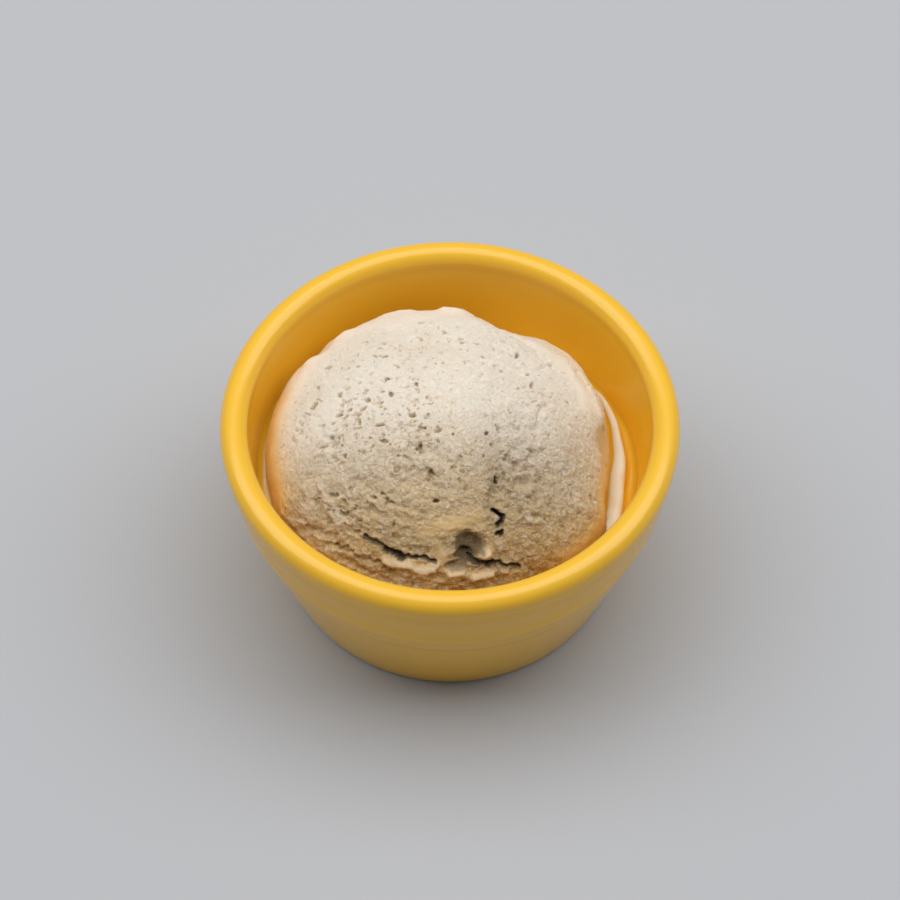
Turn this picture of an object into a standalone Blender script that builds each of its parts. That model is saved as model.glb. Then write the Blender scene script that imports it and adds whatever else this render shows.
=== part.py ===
# Gelato cup: a glazed ceramic cup with a rolled rim, holding one scoop of gelato.
# Metres, +Z up. The origin is the centre of the foot, on the surface that the cup stands on.
# The front of the cup, where the scoop's torn ledge is, faces -Y.

import math

import bmesh
import bpy
import numpy as np
from mathutils import Vector, noise

MM = 0.001

# Cup, sizes in millimetres
ROLL_RADIUS = 2.7  # section of the rolled rim
ROLL_CENTRE_R = 42.3
ROLL_CENTRE_Z = 41.9
ROLL_INNER_END_DEG = 197.0
ROLL_OUTER_END_DEG = -20.0
FLARE = ((44.55, 38.2), (44.05, 35.7), (43.42, 32.6))  # (r, z) of the flare under the roll, down to the neck
NECK_R = 43.05  # where the flare meets the tapered wall
NECK_Z = 29.4
WALL_SLOPE = 0.311  # radius gained for each millimetre of height
STEP_Z = 24.2  # fine line round the outside
STEP_DEPTH = 0.25  # the wall below that line stands this much further in
WALL_ACROSS = 4.6  # wall measured level, from outside to inside
FLOOR_Z = 6.0
FLOOR_FILLET = 8.0
FILLET_POINTS = 5
INNER_SHOULDER_Z = 29.4
INNER_TOP_R = 39.5
INNER_TOP_Z = 40.3
FOOT_EDGE = 0.8
FOOT_INNER_R = 29.5
RECESS_R = 28.6
RECESS_Z = 1.6
TURN_STEPS = 60

# Gelato, sizes in millimetres
GAP = 0.35  # between gelato and cup
SCOOP_GAP = 0.5  # between the scoop itself and the cup, so that the melted ring lies outside it
DOME_CENTRE = (-2.4, 0.0, 29.3)
DOME_HALF_WIDTH = 35.2
DOME_HALF_DEPTH = 35.2
DOME_RISE = 19.6
HUB = Vector((-1.0, 0.0, 22.0))  # all rays to the surface start here
COARSE_SUBDIVISIONS = 4
FINE_CUTS = 3
FINE_CONE_DEG = 80.0  # half-angle about +Z inside which the mesh is fine
RELIEF_FADE_Z = (20.0, 30.0)  # relief grows from none to full between these heights
MELT_LINE = (  # height at which the melted ring meets the wall, at angles from +X
    (-60.0, 17.0),
    (-14.0, 14.0),
    (0.0, 18.4),
    (12.0, 22.0),
    (28.0, 25.4),
    (60.0, 26.0),
    (110.0, 26.8),
    (156.0, 29.3),
    (180.0, 26.5),
    (215.0, 24.0),
    (260.0, 21.0),
    (300.0, 17.0),
)
MELT_TEMPLATE_Z = 25.0  # height at which the ring is turned, before its edge is raised or lowered
MELT_SAG = ((1.2, 0.6), (2.6, 1.0), (5.0, 1.2), (12.0, 1.2))  # inward from the wall, and how far it lies lower there
LUMP_SIZES = ((11.0, 0.55), (5.0, 0.4), (2.6, 0.3))  # spacing and height of the uneven surface
PIT_COUNT = 70
PIT_SEED = 11

# Torn front edge of the scoop: plan positions (x, y), then half-width and depth
CREVICE = {"path": ((-16.6, -25.6), (-14.1, -27.2), (-7.6, -29.7), (0.4, -30.6)), "half_width": 1.1, "depth": 2.6}
SLIT = {"path": ((3.1, -30.5), (7.6, -30.4), (13.6, -29.2)), "half_width": 0.9, "depth": 1.8}
CRACK = {"path": ((8.2, -21.6), (9.8, -22.6), (9.2, -24.2)), "half_width": 0.9, "depth": 2.4}
SEAM = {"path": ((0.4, 6.0), (1.0, -4.0), (-2.6, -15.5)), "half_width": 1.2, "depth": 0.5}
GROOVE = {"path": ((9.6, -13.0), (9.0, -17.0), (8.6, -20.5)), "half_width": 1.3, "depth": 0.6}
FOLD_VALLEY = {"path": ((17.0, 20.0), (22.0, 13.5), (25.4, 6.0), (26.6, -1.0)), "half_width": 1.6, "depth": 0.9}

# Places that stand proud or lie low: plan position, half-sizes across x and y, height
MOUNDS = (
    {"at": (-7.2, -31.8), "size": (6.5, 1.6), "height": 1.1},
    {"at": (2.3, -32.4), "size": (2.6, 1.4), "height": 1.0},
    {"at": (7.6, -32.0), "size": (3.0, 1.4), "height": 0.9},
    {"at": (6.9, -28.9), "size": (1.7, 1.3), "height": 1.3},
    {"at": (28.6, 7.5), "size": (3.2, 6.5), "height": 0.9},
    {"at": (1.4, 31.5), "size": (4.0, 4.0), "height": 0.7},
    {"at": (4.2, -28.0), "size": (3.1, 2.4), "height": -3.6},
    {"at": (31.4, -0.8), "size": (3.2, 2.8), "height": -1.4},
    {"at": (32.0, -9.0), "size": (4.0, 8.0), "height": -1.0},
    {"at": (15.0, 28.0), "size": (8.0, 6.0), "height": -2.0},
    {"at": (-27.5, 23.0), "size": (4.0, 4.0), "height": -0.8},
    {"at": (15.5, -11.5), "size": (3.5, 2.2), "height": -0.5},
)

# Larger pits that show from a step away: plan position, radius, depth
LARGE_PITS = (
    (-16.3, -3.5, 1.5, 0.9),
    (-7.9, -1.2, 1.4, 0.9),
    (-5.6, -9.4, 1.6, 1.0),
    (-3.4, -15.8, 1.7, 1.2),
    (-20.4, -10.5, 1.4, 0.9),
    (-13.2, 13.2, 1.3, 0.7),
    (-25.0, -7.0, 1.4, 0.9),
    (-12.6, -8.6, 1.5, 0.9),
)

GLAZE_COLOUR = (0.80, 0.42, 0.05)
GELATO_COLOUR = (0.80, 0.69, 0.54)


def clear_scene():
    for old in list(bpy.data.objects):
        bpy.data.objects.remove(old, do_unlink=True)


def make_collection(name):
    collection = bpy.data.collections.new(name)
    bpy.context.scene.collection.children.link(collection)
    return collection


def make_material(name, colour, roughness, coat):
    material = bpy.data.materials.new(name)
    material.use_nodes = True
    shader = material.node_tree.nodes["Principled BSDF"]
    shader.inputs["Base Color"].default_value = (*colour, 1.0)
    shader.inputs["Roughness"].default_value = roughness
    shader.inputs["Metallic"].default_value = 0.0
    shader.inputs["Coat Weight"].default_value = coat
    return material


def arc(centre_r, centre_z, radius, start_deg, end_deg, count):
    """Points (r, z) on an arc of the section, both ends included."""
    angles = np.radians(np.linspace(start_deg, end_deg, count))
    return [(centre_r + radius * math.cos(a), centre_z + radius * math.sin(a)) for a in angles]


def outer_wall_r(z):
    return NECK_R - WALL_SLOPE * (NECK_Z - z)


def inner_wall_r(z):
    return outer_wall_r(z) - WALL_ACROSS


def fillet_centre():
    """Centre of the arc that joins the inner wall to the floor."""
    slope_deg = math.degrees(math.atan(WALL_SLOPE))
    centre_z = FLOOR_Z + FLOOR_FILLET
    centre_r = inner_wall_r(centre_z) - FLOOR_FILLET / math.cos(math.radians(slope_deg))
    return centre_r, centre_z, slope_deg


def inner_profile():
    """From the middle of the floor out and up to the rolled rim."""
    centre_r, centre_z, slope_deg = fillet_centre()
    middle_z = (INNER_SHOULDER_Z + INNER_TOP_Z) / 2
    shoulder_r = inner_wall_r(INNER_SHOULDER_Z)
    return (
        [(0.0, FLOOR_Z)]
        + arc(centre_r, centre_z, FLOOR_FILLET, -90.0, -slope_deg, FILLET_POINTS)
        + [
            (shoulder_r, INNER_SHOULDER_Z),
            (shoulder_r + 0.72 * (INNER_TOP_R - shoulder_r), middle_z),
            (INNER_TOP_R, INNER_TOP_Z),
        ]
    )


def outer_profile():
    """From under the rolled rim down to the foot, then in to the middle of the recess."""
    foot_r = outer_wall_r(FOOT_EDGE) - STEP_DEPTH
    flare = [*FLARE, (NECK_R, NECK_Z)]
    step = [(outer_wall_r(STEP_Z), STEP_Z), (outer_wall_r(STEP_Z) - STEP_DEPTH, STEP_Z - STEP_DEPTH)]
    foot = [(foot_r, FOOT_EDGE), (foot_r - 0.25 * FOOT_EDGE, 0.25 * FOOT_EDGE), (foot_r - FOOT_EDGE, 0.0)]
    underside = [(FOOT_INNER_R, 0.0), (RECESS_R, RECESS_Z), (0.0, RECESS_Z)]
    return flare + step + foot + underside


def build_cup(collection, material):
    roll = arc(ROLL_CENTRE_R, ROLL_CENTRE_Z, ROLL_RADIUS, ROLL_INNER_END_DEG, ROLL_OUTER_END_DEG, 11)
    section = inner_profile() + roll + outer_profile()
    mesh = bpy.data.meshes.new("cup")
    points = [(r * MM, 0.0, z * MM) for r, z in section]
    mesh.from_pydata(points, [(i, i + 1) for i in range(len(points) - 1)], [])
    cup = bpy.data.objects.new("cup", mesh)
    collection.objects.link(cup)
    screw = cup.modifiers.new("turn", "SCREW")
    screw.axis = "Z"
    screw.angle = math.tau
    screw.steps = TURN_STEPS
    screw.render_steps = TURN_STEPS
    screw.use_merge_vertices = True
    screw.merge_threshold = 0.00001
    screw.use_smooth_shade = True
    mesh.materials.append(material)
    return cup


def wall_r_at(height):
    """Inner radius of the cup above the floor's fillet."""
    wall = inner_profile()[FILLET_POINTS:]
    heights = [z for r, z in wall] + [ROLL_CENTRE_Z, ROLL_CENTRE_Z + 40.0]
    radii = [r for r, z in wall] + [ROLL_CENTRE_R - ROLL_RADIUS, ROLL_CENTRE_R + 40.0]
    return np.interp(height, heights, radii)


def in_cavity(points):
    """True where a point lies inside the cup's hollow, SCOOP_GAP clear of its wall and floor."""
    centre_r, centre_z, _ = fillet_centre()
    radius = np.hypot(points[:, 0], points[:, 1])
    height = points[:, 2]
    below_wall = radius < wall_r_at(height) - SCOOP_GAP
    in_corner = (height < inner_profile()[FILLET_POINTS][1]) & (radius > centre_r)
    corner = np.hypot(radius - centre_r, height - centre_z) < FLOOR_FILLET - SCOOP_GAP
    return (height > FLOOR_Z + SCOOP_GAP) & np.where(in_corner, corner, below_wall)


def in_dome(points):
    """True inside the plain scoop: a low dome above its widest level, straight sides below it."""
    x = (points[:, 0] - DOME_CENTRE[0]) / DOME_HALF_WIDTH
    y = (points[:, 1] - DOME_CENTRE[1]) / DOME_HALF_DEPTH
    z = np.maximum(points[:, 2] - DOME_CENTRE[2], 0.0) / DOME_RISE
    return x**2 + y**2 + z**2 < 1.0


def reach(directions, inside):
    """How far each ray from HUB goes before it leaves the region that the test inside describes."""
    hub = np.array(HUB)
    low = np.zeros(len(directions))
    high = np.full(len(directions), 80.0)
    for _ in range(30):
        middle = (low + high) / 2
        within = inside(hub + directions * middle[:, None])
        low = np.where(within, middle, low)
        high = np.where(within, high, middle)
    return low


def distance_to_path(x, y, path):
    """Plan distance from (x, y) to a line through the path's points."""
    nearest = np.full(len(x), np.inf)
    for (ax, ay), (bx, by) in zip(path, path[1:]):
        dx = bx - ax
        dy = by - ay
        along = np.clip(((x - ax) * dx + (y - ay) * dy) / (dx * dx + dy * dy), 0.0, 1.0)
        nearest = np.minimum(nearest, np.hypot(x - ax - along * dx, y - ay - along * dy))
    return nearest


def cut_line(x, y, line):
    return -line["depth"] * np.exp(-((distance_to_path(x, y, line["path"]) / line["half_width"]) ** 2))


def mound(x, y, place):
    across = (x - place["at"][0]) / place["size"][0]
    along = (y - place["at"][1]) / place["size"][1]
    return place["height"] * np.exp(-(across**2) - along**2)


def scattered_pits():
    """Small pits, most of them on the left of the dome, where the scoop is coarsest."""
    draw = np.random.default_rng(PIT_SEED)
    pits = []
    for _ in range(PIT_COUNT):
        angle = draw.uniform(0.0, math.tau)
        radius = 26.0 * math.sqrt(draw.uniform(0.0, 1.0))
        x = radius * math.cos(angle) - 6.0
        y = radius * math.sin(angle) - 4.0
        pits.append((x, y, draw.uniform(0.7, 1.2), draw.uniform(0.3, 0.7)))
    return pits


def unevenness(point):
    total = 0.0
    for spacing, height in LUMP_SIZES:
        total += height * noise.noise(Vector(point) / spacing, noise_basis="PERLIN_ORIGINAL")
    return total


def relief(points):
    """Height above the plain scoop at each point, in millimetres."""
    x = points[:, 0]
    y = points[:, 1]
    height = np.array([unevenness(point) for point in points])
    for line in (CREVICE, SLIT, CRACK, SEAM, GROOVE, FOLD_VALLEY):
        height += cut_line(x, y, line)
    for place in MOUNDS:
        height += mound(x, y, place)
    for pit_x, pit_y, radius, depth in (*LARGE_PITS, *scattered_pits()):
        height -= depth * np.exp(-((x - pit_x) ** 2 + (y - pit_y) ** 2) / radius**2)
    return height * np.clip((points[:, 2] - RELIEF_FADE_Z[0]) / (RELIEF_FADE_Z[1] - RELIEF_FADE_Z[0]), 0.0, 1.0)


def sphere_of_rays():
    """A ball of directions from HUB, with small faces only where the scoop shows."""
    ball = bmesh.new()
    bmesh.ops.create_icosphere(ball, subdivisions=COARSE_SUBDIVISIONS, radius=1.0)
    lowest = math.cos(math.radians(FINE_CONE_DEG))
    upper = [face for face in ball.faces if face.calc_center_median().normalized().z > lowest]
    edges = list({edge for face in upper for edge in face.edges})
    bmesh.ops.subdivide_edges(ball, edges=edges, cuts=FINE_CUTS, use_grid_fill=True)
    bmesh.ops.triangulate(ball, faces=ball.faces[:])
    for vertex in ball.verts:
        vertex.co.normalize()
    return ball


def melt_height(angle_deg):
    """Height of the melted ring's edge on the wall, eased from one named angle to the next."""
    for (start, low), (end, high) in zip(MELT_LINE, MELT_LINE[1:]):
        if start <= angle_deg <= end:
            share = (1.0 - math.cos(math.pi * (angle_deg - start) / (end - start))) / 2.0
            return low + share * (high - low)
    return MELT_LINE[0][1]


def build_melt(collection):
    """The ring of melted gelato round the scoop, and the gelato under it down to the cup's floor."""
    centre_r, centre_z, slope_deg = fillet_centre()
    level = MELT_TEMPLATE_Z
    fillet = arc(centre_r, centre_z, FLOOR_FILLET - GAP, -90.0, -slope_deg, FILLET_POINTS)
    edge_r = float(wall_r_at(level)) - GAP
    top = [(edge_r - inward, level - drop) for inward, drop in MELT_SAG]
    section = [(0.0, FLOOR_Z + GAP), *fillet, (edge_r, level), *top, (0.0, level - MELT_SAG[-1][1])]
    ring = bmesh.new()
    verts = [ring.verts.new((r, 0.0, z)) for r, z in section]
    edges = [ring.edges.new(pair) for pair in zip(verts, verts[1:])]
    bmesh.ops.spin(
        ring, geom=verts + edges, axis=(0, 0, 1), angle=math.tau, steps=TURN_STEPS, use_merge=True
    )
    bmesh.ops.remove_doubles(ring, verts=ring.verts[:], dist=1e-4)
    for vertex in ring.verts:
        radius = math.hypot(vertex.co.x, vertex.co.y)
        if vertex.co.z < level - 2.0 * MELT_SAG[-1][1] or radius < MELT_SAG[0][0]:
            continue
        first = MELT_LINE[0][0]
        angle = (math.degrees(math.atan2(vertex.co.y, vertex.co.x)) - first) % 360.0 + first
        rise = melt_height(angle) - level
        grown = (radius + float(wall_r_at(level + rise) - wall_r_at(level))) / radius
        vertex.co = (vertex.co.x * grown, vertex.co.y * grown, vertex.co.z + rise)
    bmesh.ops.scale(ring, vec=(MM, MM, MM), verts=ring.verts[:])
    bmesh.ops.recalc_face_normals(ring, faces=ring.faces[:])
    mesh = bpy.data.meshes.new("melted_ring")
    ring.to_mesh(mesh)
    ring.free()
    melt = bpy.data.objects.new("melted_ring", mesh)
    melt.hide_render = True
    melt.display_type = "WIRE"
    collection.objects.link(melt)
    return melt


def build_gelato(collection, cutters, material):
    ball = sphere_of_rays()
    directions = np.array([vertex.co[:] for vertex in ball.verts])
    hub = np.array(HUB)
    wall = reach(directions, in_cavity)
    scoop = reach(directions, in_dome)
    scoop += relief(hub + directions * scoop[:, None])
    surface = hub + directions * np.minimum(wall, scoop)[:, None]
    for vertex, place in zip(ball.verts, surface):
        vertex.co = Vector(place) * MM
    bmesh.ops.recalc_face_normals(ball, faces=ball.faces[:])
    mesh = bpy.data.meshes.new("gelato")
    ball.to_mesh(mesh)
    ball.free()
    mesh.shade_smooth()
    mesh.materials.append(material)
    gelato = bpy.data.objects.new("gelato", mesh)
    collection.objects.link(gelato)
    join = gelato.modifiers.new("melted_ring", "BOOLEAN")
    join.operation = "UNION"
    join.solver = "EXACT"
    join.object = build_melt(cutters)
    return gelato


def main():
    clear_scene()
    collection = make_collection("gelato_cup")
    build_cup(collection, make_material("yellow_glaze", GLAZE_COLOUR, 0.12, 1.0))
    cutters = make_collection("helpers")
    build_gelato(collection, cutters, make_material("cream_gelato", GELATO_COLOUR, 0.55, 0.0))


main()
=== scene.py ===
import math

import bmesh
import bpy
import numpy as np
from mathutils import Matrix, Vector


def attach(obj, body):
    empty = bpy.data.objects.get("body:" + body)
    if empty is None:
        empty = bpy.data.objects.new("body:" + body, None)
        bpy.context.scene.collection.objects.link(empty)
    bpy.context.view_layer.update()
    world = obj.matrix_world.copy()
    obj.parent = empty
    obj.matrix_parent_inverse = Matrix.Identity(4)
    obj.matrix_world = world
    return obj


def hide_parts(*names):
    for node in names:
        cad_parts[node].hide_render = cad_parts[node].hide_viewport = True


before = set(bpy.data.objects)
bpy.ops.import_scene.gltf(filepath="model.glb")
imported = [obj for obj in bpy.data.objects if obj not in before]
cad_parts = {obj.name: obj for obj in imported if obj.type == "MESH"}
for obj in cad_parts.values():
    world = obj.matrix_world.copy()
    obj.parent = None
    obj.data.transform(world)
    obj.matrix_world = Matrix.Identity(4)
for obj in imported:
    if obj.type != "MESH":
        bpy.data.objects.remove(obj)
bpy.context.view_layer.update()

mm = 0.001

# Sizes are in millimetres throughout. They are the part's own, so each piece lies where its solid does.


# Node trees, for shapes and materials alike


class Val:  # a socket that takes + - * / : numbers through Math, vectors through Vector Math
    def __init__(self, graph, socket):
        self.graph = graph
        self.socket = socket
        self.wide = socket.type in ("VECTOR", "RGBA")

    def apply(self, operation, *parts):
        wide = any(isinstance(p, Val) and p.wide for p in parts)
        kind = "ShaderNodeVectorMath" if wide else "ShaderNodeMath"
        return self.graph.val(kind, {"operation": operation}, dict(enumerate(parts)))

    def __add__(self, other):
        return self.apply("ADD", self, other)

    def __radd__(self, other):
        return self.apply("ADD", other, self)

    def __sub__(self, other):
        return self.apply("SUBTRACT", self, other)

    def __rsub__(self, other):
        return self.apply("SUBTRACT", other, self)

    def __mul__(self, other):
        return self.apply("MULTIPLY", self, other)

    def __rmul__(self, other):
        return self.apply("MULTIPLY", other, self)

    def __truediv__(self, other):
        return self.apply("DIVIDE", self, other)

    def __rtruediv__(self, other):
        return self.apply("DIVIDE", other, self)

    def __abs__(self):
        return self.apply("ABSOLUTE", self)

    def most(self, other):
        return self.apply("MAXIMUM", self, other)

    def least(self, other):
        return self.apply("MINIMUM", self, other)

    def scaled(self, amount):  # a vector times one number
        return self.graph.val("ShaderNodeVectorMath", {"operation": "SCALE"}, {0: self, 3: amount})

    def length(self):
        return self.graph.val("ShaderNodeVectorMath", {"operation": "LENGTH"}, {0: self}, "Value")

    def part(self, axis):
        return self.graph.val("ShaderNodeSeparateXYZ", {}, {0: self}, axis)

    def between(self, low, high):  # eases from 0 at low to 1 at high; low may be the larger
        inputs = {0: self, 1: low, 2: high, 3: 0.0, 4: 1.0}
        return self.graph.val("ShaderNodeMapRange", {"interpolation_type": "SMOOTHSTEP"}, inputs)


class Graph:  # one node tree while it is being made
    def __init__(self, tree):
        self.tree = tree
        self.tree.nodes.clear()

    def node(self, kind, settings, inputs):
        made = self.tree.nodes.new(kind)
        for name, value in settings.items():
            setattr(made, name, value)
        for key, value in inputs.items():
            if isinstance(value, Val):
                self.tree.links.new(value.socket, made.inputs[key])
            elif isinstance(value, bpy.types.NodeSocket):
                self.tree.links.new(value, made.inputs[key])
            else:
                made.inputs[key].default_value = value
        return made

    def val(self, kind, settings, inputs, output=0):
        return Val(self, self.node(kind, settings, inputs).outputs[output])

    def noise(self, place, scale, detail=2.0, roughness=0.5):
        settings = {"noise_dimensions": "3D", "normalize": True}
        inputs = {"Vector": place, "Scale": scale, "Detail": detail, "Roughness": roughness}
        return self.val("ShaderNodeTexNoise", settings, inputs)

    def sway(self, place, scale, detail=1.0):  # an uneven shift to every side, around nought
        settings = {"noise_dimensions": "3D", "normalize": True}
        inputs = {"Vector": place, "Scale": scale, "Detail": detail}
        return self.val("ShaderNodeTexNoise", settings, inputs, 1) - Vector((0.5, 0.5, 0.5))

    def bump(self, strength, height):
        inputs = {"Strength": strength, "Distance": mm, "Height": height}
        return self.val("ShaderNodeBump", {}, inputs)

    def colours(self, factor, first, second):
        settings = {"data_type": "RGBA", "blend_type": "MIX"}
        return self.val("ShaderNodeMix", settings, {0: factor, 6: first, 7: second}, 2)


def rgb(red, green, blue):
    return (red, green, blue, 1.0)


def shapeTree(name, numbers):
    tree = bpy.data.node_groups.new(name, "GeometryNodeTree")
    tree.is_modifier = True
    tree.interface.new_socket("Geometry", in_out="INPUT", socket_type="NodeSocketGeometry")
    tree.interface.new_socket("Geometry", in_out="OUTPUT", socket_type="NodeSocketGeometry")
    for label, value in numbers.items():
        kind = "NodeSocketInt" if isinstance(value, int) else "NodeSocketFloat"
        tree.interface.new_socket(label, in_out="INPUT", socket_type=kind)
    tree.interface.new_socket("Finish", in_out="INPUT", socket_type="NodeSocketMaterial")
    graph = Graph(tree)
    entry = graph.node("NodeGroupInput", {}, {})
    return graph, entry, {label: Val(graph, entry.outputs[label]) for label in numbers}


def closeTree(graph, entry, geometry):
    real = graph.node("GeometryNodeRealizeInstances", {}, {0: geometry})
    inputs = {"Geometry": real.outputs[0], "Material": entry.outputs["Finish"]}
    painted = graph.node("GeometryNodeSetMaterial", {}, inputs)
    graph.node("NodeGroupOutput", {}, {0: painted.outputs[0]})


def runTree(obj, graph, numbers, material):
    live = obj.modifiers.new(graph.tree.name, "NODES")
    live.node_group = graph.tree
    for item in graph.tree.interface.items_tree:
        if item.in_out == "INPUT" and item.name in numbers:
            live[item.identifier] = numbers[item.name]
        if item.in_out == "INPUT" and item.name == "Finish":
            live[item.identifier] = material
    bpy.context.view_layer.update()
    ready = obj.evaluated_get(bpy.context.evaluated_depsgraph_get())
    mesh = bpy.data.meshes.new_from_object(ready)
    obj.modifiers.clear()
    obj.data = mesh
    mesh.name = obj.name
    return obj


def newPiece(name, mesh):
    obj = bpy.data.objects.new(name, mesh)
    bpy.context.scene.collection.objects.link(obj)
    return obj


def newMaterial(name):
    material = bpy.data.materials.new(name)
    material.use_nodes = True
    return material, Graph(material.node_tree)


def closeMaterial(graph, shader):
    out = graph.node("ShaderNodeOutputMaterial", {}, {"Surface": shader.outputs[0]})
    out.is_active_output = True


# The cup


cupSizes = {
    "rollRadius": 2.7,  # section of the rolled rim
    "rollAcross": 42.3,  # its centre, from the axis and above the table
    "rollHeight": 41.9,
    "rollStart": 182.0,  # where the roll begins on the inside, degrees
    "rollEnd": -20.0,
    "flare": ((44.55, 38.2), (44.05, 35.7), (43.42, 32.6)),
    "neckAcross": 43.05,
    "neckHeight": 29.4,
    "slope": 0.311,
    "wall": 4.6,
    "floor": 6.0,
    "fillet": 8.0,
    "shoulder": 29.4,
    "topAcross": 39.45,
    "topHeight": 39.4,
    "shoulderShare": 0.72,  # of the way outwards that the wall has come half-way up the shoulder
    "setIn": 0.25,  # of the wall below the fine line
    "footEdge": 0.8,
    "footInside": 29.5,
    "recessAcross": 28.6,
    "recessHeight": 1.6,
}
cupTurning = {
    "Steps": 288,
    "Path Radius": 20.0,
    "Line Height": 24.2,
    "Line Depth": 0.13,
    "Line Width": 0.22,
    "Wobble": 0.07,
    "Wobble Scale": 0.035,
}


def outerWall(z):
    return cupSizes["neckAcross"] - cupSizes["slope"] * (cupSizes["neckHeight"] - z)


def innerWall(z):
    return outerWall(z) - cupSizes["wall"]


def shoulderRadii():
    low = innerWall(cupSizes["shoulder"])
    return low, low + cupSizes["shoulderShare"] * (cupSizes["topAcross"] - low)


def arcPoints(across, height, radius, start, end, count):
    angles = np.radians(np.linspace(start, end, count))
    return [(across + radius * math.cos(a), height + radius * math.sin(a)) for a in angles]


def filletCentre():
    lean = math.degrees(math.atan(cupSizes["slope"]))
    height = cupSizes["floor"] + cupSizes["fillet"]
    return innerWall(height) - cupSizes["fillet"] / math.cos(math.radians(lean)), height, lean


def smoothRun(points, spacing):
    # a curve through the points, even steps apart
    pts = np.array(points, float)
    padded = np.vstack([2 * pts[0] - pts[1], pts, 2 * pts[-1] - pts[-2]])
    run = []
    for a, b, c, d in zip(padded, padded[1:], padded[2:], padded[3:]):
        count = max(2, int(np.linalg.norm(c - b) / spacing))
        gapA, gapB, gapC = (math.sqrt(np.linalg.norm(q - p)) for p, q in ((a, b), (b, c), (c, d)))
        for share in np.linspace(0.0, 1.0, count, endpoint=False):
            t = gapA + share * gapB
            ab = a + (b - a) * t / gapA
            bc = b + (c - b) * (t - gapA) / gapB
            cd = c + (d - c) * (t - gapA - gapB) / gapC
            abc = ab + (bc - ab) * t / (gapA + gapB)
            bcd = bc + (cd - bc) * (t - gapA) / (gapB + gapC)
            run.append(abc + (bcd - abc) * (t - gapA) / gapB)
    return [tuple(p) for p in run] + [tuple(pts[-1])]


def cupSection():
    s = cupSizes
    across, height, lean = filletCentre()
    fillet = arcPoints(across, height, s["fillet"], -90.0, -lean, 16)
    shoulder, middle = shoulderRadii()
    wallUp = [fillet[-1], (innerWall(20.0), 20.0), (innerWall(25.5), 25.5), (shoulder, s["shoulder"])]
    wallUp += [(middle, (s["shoulder"] + s["topHeight"]) / 2), (s["topAcross"], s["topHeight"])]
    roll = arcPoints(s["rollAcross"], s["rollHeight"], s["rollRadius"], s["rollStart"], s["rollEnd"], 44)
    down = [roll[-1], *s["flare"], (s["neckAcross"], s["neckHeight"])]
    down += [(outerWall(27.4), 27.4), (outerWall(25.0), 25.0)]
    footAcross = outerWall(s["footEdge"]) - s["setIn"] * 0.6
    low = [(outerWall(24.9), 24.9), (outerWall(23.5) - s["setIn"] * 0.6, 23.5), (footAcross, s["footEdge"])]
    edge = arcPoints(footAcross - 0.8, 0.8, 0.8, 0.0, -90.0, 7)
    inside = arcPoints(s["footInside"] + 0.4, 0.4, 0.4, -90.0, -180.0, 5)
    recess = [(s["recessAcross"] + 0.3, s["recessHeight"] - 0.3), (s["recessAcross"], s["recessHeight"])]
    lowWall = [low[1]]
    steps = 60
    for i in range(1, steps):
        lowWall.append(tuple(np.array(low[1]) + (np.array(low[2]) - np.array(low[1])) * i / steps))
    stepDown = smoothRun([(outerWall(25.0), 25.0), (outerWall(24.35), 24.35), low[1]], 0.08)
    return (
        [(0.0, s["floor"])]
        + [(across * share, s["floor"]) for share in (0.25, 0.5, 0.75)]
        + fillet
        + smoothRun(wallUp, 0.8)[1:]
        + roll
        + smoothRun(down, 0.5)[1:-1]
        + stepDown
        + lowWall[1:]
        + edge
        + inside
        + recess
        + [(s["recessAcross"] * share, s["recessHeight"]) for share in (0.66, 0.33, 0.0)]
    )


def cupTree(numbers):
    graph, entry, size = shapeTree("turnCup", numbers)
    section = graph.node("GeometryNodeMeshToCurve", {}, {0: entry.outputs["Geometry"]})
    inputs = {"Resolution": size["Steps"], "Radius": size["Path Radius"] * mm}
    path = graph.node("GeometryNodeCurvePrimitiveCircle", {"mode": "RADIUS"}, inputs)
    inputs = {"Curve": path.outputs[0], "Profile Curve": section.outputs[0]}
    turned = graph.node("GeometryNodeCurveToMesh", {}, inputs)
    inputs = {"Geometry": turned.outputs[0], "Distance": 0.00002}
    joined = graph.node("GeometryNodeMergeByDistance", {}, inputs)
    place = graph.val("GeometryNodeInputPosition", {}, {})
    level = place * Vector((1.0, 1.0, 0.0))
    outward = graph.val("ShaderNodeVectorMath", {"operation": "NORMALIZE"}, {0: level})
    across = level.length() * 1000.0
    height = place.part(2) * 1000.0
    # the line that a turning tool left round the outside
    off = (height - size["Line Height"]) / size["Line Width"]
    onOutside = across.between(40.2, 40.9) * (1.0 - height.between(26.0, 27.0))
    hump = graph.val("ShaderNodeMath", {"operation": "EXPONENT"}, {0: off * off * -1.0})
    groove = hump * size["Line Depth"] * onOutside
    # a cup turned by hand is never quite round
    wobble = (graph.noise(place.scaled(1000.0), size["Wobble Scale"], 1.0) - 0.5) * size["Wobble"] * 2.0
    inwards = (groove + abs(wobble)) * mm * across.between(2.0, 12.0)
    inputs = {"Geometry": joined.outputs[0], "Offset": outward.scaled(inwards * -1.0)}
    moved = graph.node("GeometryNodeSetPosition", {}, inputs)
    smooth = graph.node("GeometryNodeSetShadeSmooth", {}, {0: moved.outputs[0]})
    closeTree(graph, entry, smooth.outputs[0])
    return graph


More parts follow.
